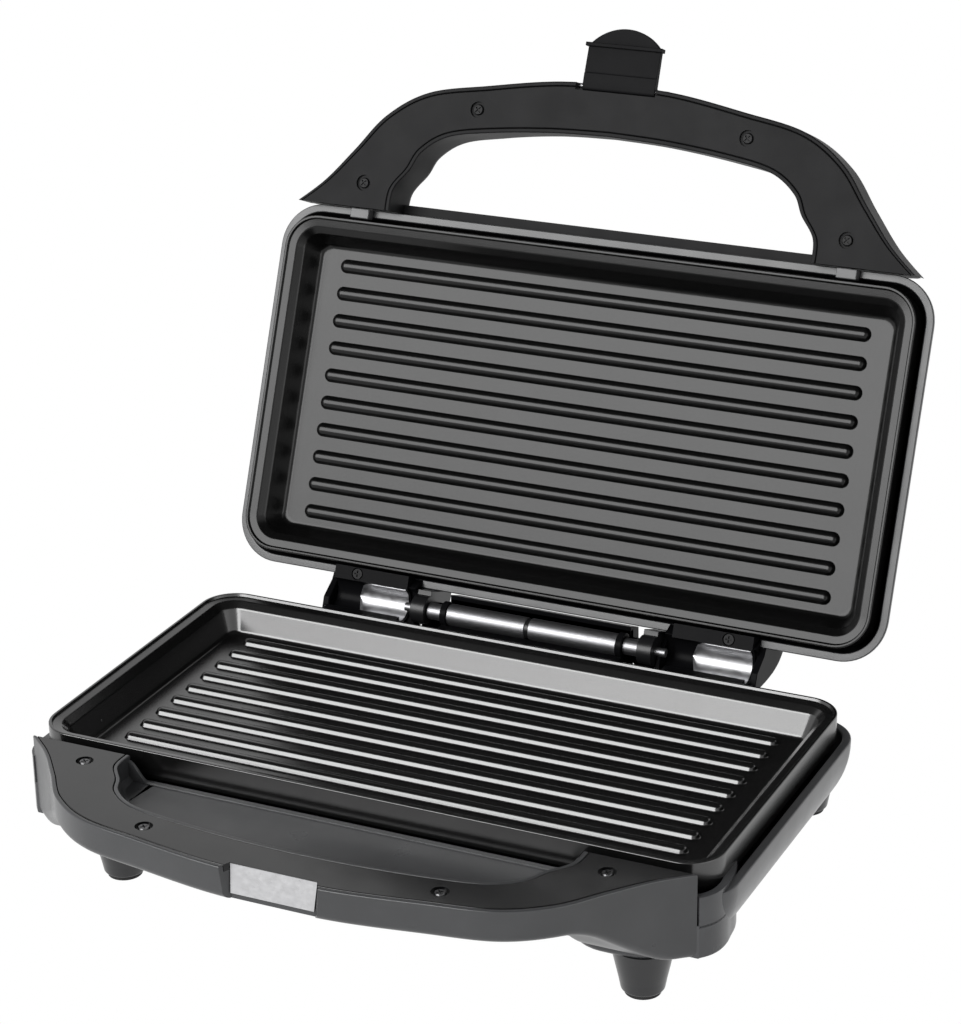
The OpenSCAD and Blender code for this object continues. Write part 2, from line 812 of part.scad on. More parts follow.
module hinge_bracket() {
    color(black) in_base() difference() {
        union() {
            translate([-shoulder_x0, rear_y + 0.2, -13]) cube([2 * shoulder_x0, 5 - rear_y, 8.8]);
            both_sides() translate([hb_x, 0, 0]) rotate([0, 90, 0])
                cylinder(h = collar_w, r = barrel_r + 0.8, $fn = 48);
            both_sides() translate([12, rear_y + 0.2, -tail_top]) cube([24, 5 - rear_y, tail_top - 6]);
            translate([-shoulder_x0, 4, -13]) cube([2 * shoulder_x0, 5.8, 8.8]);
            translate([-shoulder_x0, barrel_r + 1.8, -13]) cube([2 * shoulder_x0, 3, 17.6]);
        }
        translate([-hb_x, 0, 0]) rotate([0, 90, 0])
            cylinder(h = barrel_l, r = barrel_r + run_fit, $fn = 48);
        translate([-60, 0, 0]) rotate([0, 90, 0]) cylinder(h = 120, r = rod_r + run_fit, $fn = 48);
    }
}

// Base mounts of the hinge: pads on the housing's rear edge with a round nose in each scoop
module base_hinge_mount() {
    x0 = ear_in + 6;
    w = ear_out - 4 - x0;
    y1 = rear_y - 4.6;
    difference() {
        union() {
            translate([x0, y1, edge_z]) cube([w, 9.4, 4.4]);
            intersection() {
                translate([x0, 0, 0]) rotate([0, 90, 0]) cylinder(h = w, r = scoop_r - 0.5, $fn = 48);
                translate([x0, -20, -20]) cube([w, 40, 20 - 3.6]);
            }
            translate([x0, rear_y + 2, -19]) cube([w, 2.8, 15.4]);
        }
        translate([hinge_screw_x, rear_y - 1.6, edge_z - 1])
            cylinder(h = 6, r = 1.3 + run_fit, $fn = 24);
        translate([hinge_screw_x, rear_y - 1.6, edge_z + 3]) cylinder(h = 6, r = 2.9, $fn = 32);
    }
}

module base_hinge_mounts() {
    color(black) in_base() both_sides() base_hinge_mount();
}

module hinge_screws(top) {
    both_sides() translate([hinge_screw_x, rear_y - 1.6, top]) {
        difference() {
            cylinder(h = 1.3, r = 2.4, $fn = 32);
            for (a = [0, 90]) rotate([0, 0, a]) translate([-1.5, -0.3, 0.5]) cube([3, 0.6, 2]);
        }
        translate([0, 0, -hinge_screw_l]) cylinder(h = hinge_screw_l, r = 1.3, $fn = 24);
    }
}

module base_hinge_screws() {
    color(steel) in_base() hinge_screws(edge_z + 3);
}

// Lid
module ear_profile() {
    polygon([
        [rear_y - 1.5, -9],
        [rear_y - 1.5, -33],
        [rear_y + 1.5, -32.6],
        [-5.2, -31],
        [-2.3, -28.5],
        [0.8, -24.4],
        [3.4, -19.7],
        [6, -14],
        [8.2, -8.3],
        [9.8, -4],
        [10.4, -1],
        [8, -1],
        [8, -3],
        [0, -9]]);
}

module ear() {
    difference() {
        translate([ear_in, 0, 0]) rotate([90, 0, 90]) linear_extrude(height = ear_out - ear_in)
            ear_profile();
        translate([ear_in - 1, 0, 0]) rotate([0, 90, 0])
            cylinder(h = ear_out - ear_in - 3, r = scoop_r + scoop_t + seat, $fn = 48);
    }
}

module lid_housing() {
    color(black) in_lid() flip() difference() {
        union() {
            difference() {
                dome(0);
                dome(housing_t);
            }
            intersection() {
                lid_posts();
                dome(1);
            }
            hinge_boss(3.3, 14);
            both_sides() ear();
        }
        lens_places() cylinder(h = 20, r = lens_r + run_fit, $fn = 32);
        hinge_screw_holes(14);
        translate([-55, rear_y - 4, edge_z - 1.5]) cube([110, 8, 4]);
        translate([-45, rear_y - 4, edge_z - 3.5]) cube([43, 8, 6]);
    }
}

// Power and ready lamps: two lenses in the flat of the dome
module lens_places() {
    both_sides() translate([9, pc - 26, -dome_h - 1]) children();
}

module indicator_lenses() {
    color([0.75, 0.1, 0.08]) in_lid() flip() lens_places() {
        cylinder(h = housing_t + 3, r = lens_r, $fn = 32);
        translate([0, 0, 1 + housing_t + 0.2]) cylinder(h = 2, r = lens_r + 1.2, $fn = 32);
    }
}

module lid_posts() {
    plate_points() {
        difference() {
            translate([0, 0, 1 - dome_h]) cylinder(h = post_z + dome_h - 1, r = 6, $fn = 32);
            translate([0, 0, post_z - 3]) cylinder(h = 4, r = 3.6, $fn = 32);
        }
    }
}

module upper_cooking_plate() {
    color([0.07, 0.07, 0.075]) in_lid() flip() cooking_plate();
}

module upper_heating_element() {
    color(steel) in_lid() flip() heating_element();
}

module upper_reflector() {
    color(steel) in_lid() flip() reflector();
}

module upper_plate_screws() {
    color(steel) in_lid() flip() plate_screws();
}

module upper_handle_shell() {
    color(lower_col) in_lid() flip() difference() {
        union() {
            handle_bar(upper_bar_h, upper_leg_h, upper_bar_x, upper_leg_x);
            translate([-106, front_y - 6, -26]) cube([212, 5.7, 10]);
        }
        cover_bed();
        latch_recess(upper_bar_h + 2, 0);
        translate([-latch_pin_l / 2 - 6, -pivot_y, -latch_pivot_z]) rotate([0, 90, 0])
            cylinder(h = latch_pin_l + 12, r = latch_pin_r + run_fit, $fn = 32);
        screw_bores();
        handle_cut();
    }
}

module upper_handle_cover() {
    color(lower_col) in_lid() flip() difference() {
        handle_lid();
        cover_holes();
        latch_recess(upper_bar_h + 2, 0);
        handle_cut();
    }
}

module upper_handle_screws() {
    color(steel) in_lid() flip() handle_screws();
}

// Small light tabs between the upper cover and the plate, one on each side
module cover_tabs() {
    color([0.6, 0.6, 0.6]) in_lid() both_sides() translate([tab_x, front_y + 0.2, plate_proud - 5])
        cube([tab_w, 4.6, 5]);
}

module lid_hinge_knuckle() {
    difference() {
        union() {
            translate([knuckle_x0, 0, 0]) rotate([0, 90, 0])
                cylinder(h = knuckle_w, r = knuckle_r, $fn = 48);
            translate([knuckle_x0, rear_y + 0.2, 0]) cube([knuckle_w, -rear_y + 4, 22]);
        }
        translate([knuckle_x0 - 1, 0, 0]) rotate([0, 90, 0])
            cylinder(h = knuckle_w + 2, r = rod_r + run_fit, $fn = 48);
    }
}

module lid_hinge_knuckles() {
    color(black) in_lid() both_sides() lid_hinge_knuckle();
}

// Hinge cover: a flange on the housing's rear edge that dips into a scoop round the axis
module lid_hinge_cover() {
    x0 = ear_in + 6;
    w = ear_out - 4 - x0;
    y1 = rear_y - 4.6;
    difference() {
        union() {
            translate([x0, y1, half_gap + 0.6]) cube([w, -y1 - scoop_r, plate_proud - half_gap - 0.6]);
            intersection() {
                translate([x0, 0, 0]) rotate([0, 90, 0])
                    cylinder(h = w, r = scoop_r + scoop_t, $fn = 48);
                translate([x0, -20, half_gap + 0.6]) cube([w, 40, 20]);
            }
        }
        translate([x0 - 1, 0, 0]) rotate([0, 90, 0]) cylinder(h = w + 2, r = scoop_r, $fn = 48);
        translate([hinge_screw_x, rear_y - 1.6, -1]) cylinder(h = 12, r = 1.3 + run_fit, $fn = 24);
        translate([hinge_screw_x, rear_y - 1.6, -1]) cylinder(h = 3.4, r = 2.9, $fn = 32);
    }
}

module lid_hinge_covers() {
    color(black) in_lid() both_sides() lid_hinge_cover();
}

module lid_hinge_screws() {
    color(steel) in_lid() flip() hinge_screws(-half_gap - 2);
}

// Latch: a plate that swings on a pin in the upper handle and hooks under the lower one
module latch_pin() {
    color(steel) in_lid() translate([-latch_pin_l / 2, -pivot_y, latch_pivot_z]) rotate([0, 90, 0])
        cylinder(h = latch_pin_l, r = latch_pin_r, $fn = 32);
}

module latch_plate() {
    hw = latch_w / 2;
    tab_r = (hw * hw + tab_l * tab_l) / (2 * tab_l);
    difference() {
        union() {
            translate([-hw, 0, 0]) rotate([0, 90, 0]) cylinder(h = latch_w, r = 2.4, $fn = 32);
            translate([-hw, -latch_l, -latch_t / 2]) cube([latch_w, latch_l, latch_t]);
            translate([-hw - 1.1, -latch_l - 0.9, -latch_t / 2 - 2.2])
                cube([latch_w + 2.2, 1.8, 2.2 + latch_t]);
            intersection() {
                translate([0, tab_r - latch_l - tab_l, -latch_t / 2])
                    cylinder(h = latch_t, r = tab_r, $fn = 96);
                translate([-hw, -latch_l - tab_l, -latch_t]) cube([latch_w, tab_l + 0.5, 2 * latch_t]);
            }
        }
        translate([-hw - 1, 0, 0]) rotate([0, 90, 0])
            cylinder(h = latch_w + 2, r = latch_pin_r + run_fit, $fn = 32);
        translate([-hw - 1, -latch_l * 0.68, -latch_t / 2 - 1]) cube([latch_w + 2, 0.7, 1.3]);
    }
}

module latch() {
    color(black) in_lid() translate([0, -pivot_y, latch_pivot_z]) latch_plate();
}

base_housing();
lower_cooking_plate();
lower_heating_element();
lower_reflector();
lower_plate_screws();
thermostat();
thermal_fuse();
terminal_block();
cord_gland();
lower_handle_shell();
lower_handle_cover();
lower_handle_screws();
feet();
foot_soles();
hinge_bracket();
hinge_barrel();
hinge_barrel_collar();
hinge_rod();
base_hinge_mounts();
base_hinge_screws();
lid_housing();
upper_cooking_plate();
upper_heating_element();
upper_reflector();
upper_plate_screws();
upper_handle_shell();
upper_handle_cover();
upper_handle_screws();
cover_tabs();
lid_hinge_knuckles();
lid_hinge_covers();
lid_hinge_screws();
indicator_lenses();
latch_pin();
latch();
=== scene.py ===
import math

import bmesh
import bpy
import numpy as np
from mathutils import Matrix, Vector

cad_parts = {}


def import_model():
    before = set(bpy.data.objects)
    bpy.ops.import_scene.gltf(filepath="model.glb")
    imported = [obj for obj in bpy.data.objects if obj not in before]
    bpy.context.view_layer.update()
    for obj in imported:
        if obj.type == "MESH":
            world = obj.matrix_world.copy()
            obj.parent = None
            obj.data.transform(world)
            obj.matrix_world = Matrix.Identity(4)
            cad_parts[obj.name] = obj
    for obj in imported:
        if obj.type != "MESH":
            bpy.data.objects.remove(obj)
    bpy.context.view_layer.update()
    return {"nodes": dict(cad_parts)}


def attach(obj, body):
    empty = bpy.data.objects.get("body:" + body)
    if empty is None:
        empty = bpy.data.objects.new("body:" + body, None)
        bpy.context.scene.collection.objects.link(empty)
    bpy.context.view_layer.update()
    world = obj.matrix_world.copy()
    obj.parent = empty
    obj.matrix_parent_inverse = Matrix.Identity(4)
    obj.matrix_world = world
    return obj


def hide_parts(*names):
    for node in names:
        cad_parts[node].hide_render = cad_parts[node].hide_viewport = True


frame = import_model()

# Sizes in millimetres, measured from the hinge axis with the lid shut: +y to the back, z = 0 at the parting
# plane. The lid's pieces are drawn as mirror images of the base's and then turned up.
HINGE_Y, HINGE_H = 66.7, 69.0
OPEN = math.radians(112.7)
PLATE_HALF_W, PLATE_HALF_D, MIDDLE_Y = 155.0, 79.5, -94.5
HOUSING_HALF_W, HOUSING_HALF_D, HOUSING_R = 160.8, 85.3, 20.5
EDGE_Z = -8.0
REAR_Y = MIDDLE_Y + HOUSING_HALF_D
# Where the handles end against the housings
STOP = MIDDLE_Y - HOUSING_HALF_D - 0.2


def base(p):
    """A point of the base, in metres in the part's frame."""
    return Vector((p[0], p[1] + HINGE_Y, p[2] + HINGE_H)) / 1000


def lid(p):
    """A point of the lid: mirrored at the parting plane and turned open."""
    y, z = p[1], -p[2]
    c, s = math.cos(OPEN), math.sin(OPEN)
    return base((p[0], y * c + z * s, -y * s + z * c))


def link(name, data):
    """A new object in the scene."""
    o = bpy.data.objects.new(name, data)
    bpy.context.scene.collection.objects.link(o)
    return o


# Camera
PHOTO_W, FOCAL_PX, SENSOR_MM = 961.0, 3092.1, 36.0
AZIMUTH, ELEVATION, ROLL = (math.radians(a) for a in (25.87, 22.56, -1.176))
# Where the hinge axis's middle lies in the camera's frame: right, up and away
SHIFT_X, SHIFT_Y, DISTANCE = 24.05, -53.21, 1401.7


def look():
    """The camera that took the photograph, as fitted to it."""
    ahead = Vector((-math.sin(AZIMUTH) * math.cos(ELEVATION), math.cos(AZIMUTH) * math.cos(ELEVATION),
                    -math.sin(ELEVATION)))
    level = Vector((math.cos(AZIMUTH), math.sin(AZIMUTH), 0.0))
    upright = level.cross(ahead)
    right = math.cos(ROLL) * level + math.sin(ROLL) * upright
    up = math.cos(ROLL) * upright - math.sin(ROLL) * level
    place = base(-(SHIFT_X * right + SHIFT_Y * up + DISTANCE * ahead))
    data = bpy.data.cameras.new("camera")
    data.sensor_fit = "HORIZONTAL"
    data.sensor_width = SENSOR_MM
    data.lens = FOCAL_PX * SENSOR_MM / PHOTO_W
    data.clip_end = 50
    cam = link("camera", data)
    m = cam.matrix_world.copy()
    for i in range(3):
        m[i] = (right[i], up[i], -ahead[i], place[i])
    cam.matrix_world = m
    bpy.context.scene.camera = cam


look()


# Materials
def shader(name):
    """A material, its node tree and its shader."""
    mat = bpy.data.materials.new(name)
    mat.use_nodes = True
    nt = mat.node_tree
    return mat, nt, nt.nodes["Principled BSDF"]


def add(nt, kind, **values):
    """A node, with values for its sockets or its settings."""
    n = nt.nodes.new(kind)
    for k, v in values.items():
        if k in n.inputs:
            n.inputs[k].default_value = v
        else:
            setattr(n, k, v)
    return n


def noise(nt, scale, detail=3.0, stretch=(1, 1, 1)):
    co = add(nt, "ShaderNodeTexCoord")
    mp = add(nt, "ShaderNodeMapping")
    mp.inputs["Scale"].default_value = stretch
    nz = add(nt, "ShaderNodeTexNoise", Scale=scale, Detail=detail, Roughness=0.55)
    nt.links.new(co.outputs["Object"], mp.inputs["Vector"])
    nt.links.new(mp.outputs["Vector"], nz.inputs["Vector"])
    return nz.outputs["Fac"]


def ramp(nt, fac, low, high):
    """Runs from low to high over the middle of the noise; each is a grey level or a colour."""
    r = add(nt, "ShaderNodeValToRGB")
    for element, at, value in zip(r.color_ramp.elements, (0.3, 0.7), (low, high)):
        element.position = at
        element.color = (value, value, value, 1) if isinstance(value, float) else (*value, 1)
    nt.links.new(fac, r.inputs["Fac"])
    return r.outputs["Color"]


def bump(nt, bsdf, fac, strength):
    b = add(nt, "ShaderNodeBump", Strength=strength, Distance=0.0001)
    nt.links.new(fac, b.inputs["Height"])
    nt.links.new(b.outputs["Normal"], bsdf.inputs["Normal"])


def plastic(name, tone, rough, grain=0.35, ior=1.5, scale=1500, gloss=0.5):
    mat, nt, p = shader(name)
    tone = np.array(tone)
    colour = ramp(nt, noise(nt, 35, 4), tuple(tone * 0.88), tuple(tone * 1.12))
    nt.links.new(colour, p.inputs["Base Color"])
    nt.links.new(ramp(nt, noise(nt, 60, 3), rough - 0.03, rough + 0.03), p.inputs["Roughness"])
    p.inputs["IOR"].default_value = ior
    p.inputs["Specular IOR Level"].default_value = gloss
    bump(nt, p, noise(nt, scale, 2), grain)
    return mat


def metal(name, tone, rough, stretch=(1, 1, 1)):
    mat, nt, p = shader(name)
    tone = np.array(tone)
    p.inputs["Metallic"].default_value = 1.0
    colour = ramp(nt, noise(nt, 250, 3, stretch), tuple(tone * 0.9), tuple(tone))
    nt.links.new(colour, p.inputs["Base Color"])
    nt.links.new(ramp(nt, noise(nt, 400, 3, stretch), rough * 0.8, rough * 1.25), p.inputs["Roughness"])
    return mat


def coating(name, gloss):
    mat, nt, p = shader(name)
    p.inputs["Specular IOR Level"].default_value = gloss
    nt.links.new(ramp(nt, noise(nt, 900, 2), 0.002, 0.004), p.inputs["Base Color"])
    nt.links.new(ramp(nt, noise(nt, 40, 3), 0.22, 0.24), p.inputs["Roughness"])
    p.inputs["IOR"].default_value = 1.6
    bump(nt, p, noise(nt, 2200, 2), 0.06)
    return mat


M = {
    "coat": coating("non_stick_coating", 0.8),
    # The lid's plate has the same coating with its gloss turned down so that its reflections come out
    # darker: painted shade.
    "coat_lid_painted_shade": coating("non_stick_coating_painted_shade", 0.2),
    "shell": plastic("grained_grey_plastic", (0.04, 0.041, 0.043), 0.3),
    "housing": plastic("dark_grey_plastic", (0.014, 0.0143, 0.0155), 0.3, 0.25),
    # A lighter copy of the housing plastic for the base's housing, which brightens its sides: painted
    # light.
    "base_body_painted_light": plastic("housing_plastic_painted_light", (0.05, 0.051, 0.054), 0.3, 0.3),
    "cover": plastic("satin_black_plastic", (0.003, 0.003, 0.0033), 0.18, 0.08),
    # A darker, less glossy copy of the handle plastic for the upper handle, so that its inner faces and
    # reflections come out dark: painted shade.
    "upper_handle_painted_shade": plastic("handle_plastic_painted_shade", (0.008, 0.008, 0.0085), 0.5, 0.25, gloss=0.1),
    "latch": plastic("satin_black_latch", (0.006, 0.006, 0.0065), 0.5, 0.25, gloss=0.05),
    "black": plastic("black_plastic", (0.008, 0.008, 0.0085), 0.32, 0.15, gloss=0.35),
    "chrome": metal("polished_tube", (0.3, 0.3, 0.31), 0.42, (1, 12, 12)),
    "screw": metal("dark_screw_steel", (0.12, 0.12, 0.123), 0.3),
    # The lid's screws are the same steel screws, drawn as dark plastic with little gloss: painted shade.
    "screw_painted_shade": plastic("dark_screw_painted_shade", (0.006, 0.006, 0.0065), 0.4, 0.1, gloss=0.12),
    # Bright metal for the sheets in the ears' bowls: painted reflection.
    "scoop": metal("bright_scoop", (0.42, 0.42, 0.43), 0.38),
    # Black plastic with its reflections taken out, so that the hinge's ears, walls, pads and covers render
    # as black as shade: painted shade.
    "flange": plastic("black_hinge_flange", (0.004, 0.004, 0.0045), 0.3, 0.05, gloss=0.03),
    "steel": metal("plain_steel", (0.6, 0.6, 0.61), 0.35),
    # Bright brushed metal for the sheet on the lower recess's face: painted reflection.
    "strike_painted_reflection": metal("painted_reflection_strike_face", (0.55, 0.55, 0.56), 0.32, (1, 6, 1)),
    "rubber": plastic("sole_rubber", (0.012, 0.012, 0.012), 0.75, 0.5, 1.45, 900),
    "tab": plastic("light_tab_plastic", (0.08, 0.08, 0.082), 0.4),
    "lens": plastic("red_lens", (0.5, 0.03, 0.02), 0.12, 0.02),
    "ceramic": plastic("pale_insulator", (0.7, 0.68, 0.62), 0.5),
}


# Shapes
def ring(a, b, r, z, cx=0.0, cy=MIDDLE_Y, n=10):
    """A rounded rectangle of half sizes a and b at height z."""
    pts = []
    r = max(min(r, a, b), 0.02)
    for c in range(4):
        sx = 1 if c in (0, 3) else -1
        sy = 1 if c < 2 else -1
        for i in range(n + 1):
            t = math.radians(90 * c + 90 * i / n)
            pts.append((cx + sx * (a - r) + r * math.cos(t), cy + sy * (b - r) + r * math.sin(t), z))
    return pts


def soft(points, n=5):
    """A line of (u, v, radius) with its corners rounded."""
    out = []
    for i, p in enumerate(points):
        r = p[2] if len(p) > 2 else 0
        if r <= 0 or i in (0, len(points) - 1):
            out.append((p[0], p[1]))
            continue
        a, b, c = (Vector(points[i - 1][:2]), Vector(p[:2]), Vector(points[i + 1][:2]))
        u, v = (a - b), (c - b)
        half = max(u.angle(v) / 2, 0.05)
        t = min(r / math.tan(half), 0.48 * u.length, 0.48 * v.length)
        p0, p1 = b + u.normalized() * t, b + v.normalized() * t
        for k in range(n + 1):
            s = k / n
            q = p0 * (1 - s) ** 2 + b * 2 * s * (1 - s) + p1 * s * s
            out.append((q.x, q.y))
    return out


def curve(points, n):
    """A smooth line through the points, with n steps between each two."""
    p = [np.array(q, float) for q in points]
    out = []
    for i in range(len(p) - 1):
        a, b, c, d = p[max(i - 1, 0)], p[i], p[i + 1], p[min(i + 2, len(p) - 1)]
        for j in range(n):
            t = j / n
            square = t * t * (2 * a - 5 * b + 4 * c - d)
            cube = t ** 3 * (3 * b - a - 3 * c + d)
            out.append(0.5 * (2 * b + t * (c - a) + square + cube))
    out.append(p[-1])
    return out


def smooth01(t):
    """Eases from 0 to 1."""
    t = min(max(t, 0.0), 1.0)
    return t * t * (3 - 2 * t)


class Piece:
    """Collects closed skins and makes one Blender object of them."""

    def __init__(self):
        self.v, self.f, self.m = [], [], []

    def skin(self, rings, mat=0):
        """Joins rings of equal length and closes both ends."""
        n, k, off = len(rings[0]), len(rings), len(self.v)
        for g in rings:
            self.v.extend(tuple(q) for q in g)
        for j in range(k - 1):
            a, b = off + j * n, off + (j + 1) * n
            for i in range(n):
                self.f.append((a + i, a + (i + 1) % n, b + (i + 1) % n, b + i))
                self.m.append(mat)
        self.f.append(tuple(off + i for i in reversed(range(n))))
        self.f.append(tuple(off + (k - 1) * n + i for i in range(n)))
        self.m += [mat, mat]
        return self

    def lathe(self, profile, at, n=48):
        """Turns a profile of (radius, height) about an upright axis."""
        rings = []
        for r, h in profile:
            turns = [2 * math.pi * i / n for i in range(n)]
            rings.append([(at[0] + r * math.cos(t), at[1] + r * math.sin(t), at[2] + h) for t in turns])
        return self.skin(rings)

    def prism(self, outline, x0, x1, mat=0):
        """An outline of (y, z) drawn out from x0 to x1."""
        return self.skin([[(x, y, z) for y, z in outline] for x in (x0, x1)], mat)

    def block(self, x0, y0, z0, x1, y1, z1):
        corners = ((x0, y0), (x1, y0), (x1, y1), (x0, y1))
        return self.skin([[(x, y, z) for x, y in corners] for z in (z0, z1)])

    def mirrored(self):
        """Adds the mirror image in x."""
        off = len(self.v)
        self.v += [(-p[0], p[1], p[2]) for p in self.v]
        self.f += [tuple(off + i for i in reversed(g)) for g in self.f]
        self.m += list(self.m)
        return self

    def mesh(self, name, place):
        me = bpy.data.meshes.new(name)
        me.from_pydata([place(p) for p in self.v], [], self.f)
        me.polygons.foreach_set("material_index", self.m)
        bm = bmesh.new()
        bm.from_mesh(me)
        bmesh.ops.remove_doubles(bm, verts=bm.verts, dist=2e-6)
        bmesh.ops.dissolve_degenerate(bm, edges=bm.edges, dist=1e-6)
        bmesh.ops.recalc_face_normals(bm, faces=bm.faces)
        bm.to_mesh(me)
        bm.free()
        return me


def finish_piece(o, mats, body, nodes=(), angle=32, bevel=0.0):
    """Materials, shading, edges eased by bevel mm, and the body and nodes of a piece."""
    o.data.materials.clear()
    for m in mats:
        o.data.materials.append(M[m])
    o.data.shade_smooth()
    o.data.set_sharp_from_angle(angle=math.radians(angle))
    if bevel:
        b = o.modifiers.new("edges", "BEVEL")
        b.width = bevel / 1000
        b.segments = 2
        b.limit_method = "ANGLE"
        b.angle_limit = math.radians(40)
        b.harden_normals = True
    w = o.modifiers.new("normals", "WEIGHTED_NORMAL")
    w.keep_sharp = True
    w.weight = 80
    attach(o, body)
    if nodes:
        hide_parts(*nodes)
    return o


def make(piece, name, place, mats, body, nodes=(), angle=32, bevel=0.0, cut=None):
    """One visible piece: the skins drawn at their place, less those of cut."""
    o = link(name, piece.mesh(name, place))
    if cut is not None:
        tool = link(name + "_tool", cut.mesh(name + "_tool", place))
        b = o.modifiers.new("cut", "BOOLEAN")
        b.object = tool
        b.operation = "DIFFERENCE"
        b.solver = "EXACT"
        b.use_self = True
        b.material_mode = "INDEX"
        bpy.context.view_layer.update()
        result = o.evaluated_get(bpy.context.evaluated_depsgraph_get())
        me = bpy.data.meshes.new_from_object(result)
        o.modifiers.clear()
        o.data = me
        bpy.data.objects.remove(tool)
    return finish_piece(o, mats, body, nodes, angle, bevel)


def dress(node, mat, body, bevel):
    """A finer copy of a CAD node: its points joined, its edges eased."""
    me = frame["nodes"][node].data.copy()
    bm = bmesh.new()
    bm.from_mesh(me)
    bmesh.ops.remove_doubles(bm, verts=bm.verts, dist=1e-6)
    bmesh.ops.dissolve_limit(bm, angle_limit=math.radians(1.0), verts=bm.verts, edges=bm.edges)
    bmesh.ops.recalc_face_normals(bm, faces=bm.faces)
    bm.to_mesh(me)
    bm.free()
    o = link(node + "_finish", me)
    return finish_piece(o, [mat], body, [node], bevel=bevel)


# Plates
FLOOR_Z = -15.3
RIBS, RIB_PITCH, FIRST_RIB_Y, RIB_HALF_L = 10, 13, -35.5, 128.3
PLATE_R, WELL_R = 16, 5.5
# From the outer edge inwards: distance in, height and rounding of the pan, skirt, lip, band, rim and well
PLATE_LINE = soft([
    (12.6, -21.3), (4.2, -4.8, 1.5), (2.0, -4.6, 0.3), (2.0, -13.0, 0.4), (0.1, -13.0, 0.5),
    (0.0, -0.4, 0.55), (1.3, -0.4, 0.3), (1.8, -1.55, 0.25), (5.3, -2.05, 1.6), (8.4, -4.7, 2.4),
    (12.7, FLOOR_Z, 2.6), (24.0, FLOOR_Z)], 5)
# Half width and height over the floor
RIB_LINE = [(3.5, -0.3), (3.35, -0.02), (3.1, 0.1), (2.9, 0.4), (2.45, 1.25), (2.1, 1.7), (1.6, 2.0),
            (1.0, 2.2), (0.4, 2.3)]


def cooking_plate():
    """The plate's whole section carried round its outline, and the ribs in its well."""
    p = Piece()
    p.skin([ring(PLATE_HALF_W - d, PLATE_HALF_D - d, max(PLATE_R - d, WELL_R), z, n=12)
            for d, z in PLATE_LINE])
    for i in range(RIBS):
        y = FIRST_RIB_Y - RIB_PITCH * i
        p.skin([ring(RIB_HALF_L + w, w, w, FLOOR_Z + h, 0, y, 8) for w, h in RIB_LINE])
    return p


make(cooking_plate(), "lower_plate", base, ["coat"], "base",
     ["lower_cooking_plate"], 50)
# The lid's plate takes the coating copy with painted shade.
make(cooking_plate(), "upper_plate", lid, ["coat_lid_painted_shade"], "lid",
     ["upper_cooking_plate"], 50)


# Housings
def housing_ring(inset_x, inset_y, z):
    """The housings' outline, set in at its sides and at its front and back."""
    return ring(HOUSING_HALF_W - inset_x, HOUSING_HALF_D - inset_y, HOUSING_R, z, n=14)


RIM_T, RIM_END_Z = 3.8, -20


def rim(top, bottom, corner):
    """The rings up the outer side of a housing's rim and down its inner side."""
    line = soft([(0, bottom), (0, top, corner), (RIM_T, top, 0.7), (RIM_T, RIM_END_Z)], 4)
    return [ring(HOUSING_HALF_W - d, HOUSING_HALF_D - d, HOUSING_R - d, z, n=14) for d, z in line]


# The middles of a front corner's round side and of the pad over a front foot, and a corner's lowest level
CORNER_X, PAD_X, CORNER_Y, CORNER_Z = 130, 114, -155, -37.5
TAIL_HALF_W, TAIL_HALF_D, TAIL_Y, TAIL_TOP_Z = 143, 40, -22, -22
# The outer side of the right front corner, from the handle's end backwards
CORNER = curve([(152.4, STOP), (155.6, -176), (157.6, -171), (158.2, -165), (157.6, -159), (156.6, -151.5),
                (153.9, -144), (149, -138.3), (142, -134.5), (132, -132)], 6)


def inward(x, y, t):
    """The point set t closer to the middle of a front corner."""
    away = math.hypot(x - CORNER_X, y - CORNER_Y)
    return x - t * (x - CORNER_X) / away, y - t * (y - CORNER_Y) / away


def front_corner(p, sx):
    """The corner below one end of the handle, the wall beside it and the pad over the front foot."""
    plan = [tuple(q) for q in CORNER] + [(108, -132), (104, -150), (104, STOP)]
    rows = []
    for k, z in soft([(0, -23), (0, CORNER_Z, 0.8), (14, CORNER_Z)], 4):
        rows.append([(sx * (x - k * (x - 125) / 40), y - k * (y - CORNER_Y) / 40 if y > STOP else y, z)
                     for x, y in plan])
    p.skin(rows)
    wall = [tuple(q) for q in CORNER[:46]]
    wall += [inward(x, y, 3.2) for x, y in reversed(wall)]
    p.skin([[(sx * x, y, z) for x, y in wall] for z in (-10.5, -24)])
    line = soft([(0, -30), (0, -48, 3.3), (16, -48)], 5)
    p.skin([ring(22 - d, 20.6 - d, 15, z, sx * PAD_X, CORNER_Y, 8) for d, z in line])


def tub():
    """The base's housing: a tub with a rim, its front corners and its tail."""
    p = Piece()
    rings = []
    for t in range(90, -1, -5):
        c, s = math.cos(math.radians(t)), math.sin(math.radians(t))
        rings.append(housing_ring(30 * (1 - c), 14 * (1 - c), -14.2 - 33.8 * s))
    rings += rim(-12.4, -13.8, 0.7)
    rings.append(ring(HOUSING_HALF_W - 14, HOUSING_HALF_D - 10, 15, -44, n=14))
    p.skin(rings)
    for sx in (1, -1):
        front_corner(p, sx)
    tail = soft([(12, -49), (0.5, -49, 8), (0, TAIL_TOP_Z, 2.5), (8, TAIL_TOP_Z)], 6)
    p.skin([ring(TAIL_HALF_W - d, TAIL_HALF_D - d, 20 - min(d, 14), z, 0, TAIL_Y, 10) for d, z in tail])
    return p


# The base's housing takes the lighter housing plastic, painted light.
make(tub(), "lower_housing", base, ["base_body_painted_light"], "base", ["base_housing"], 40)

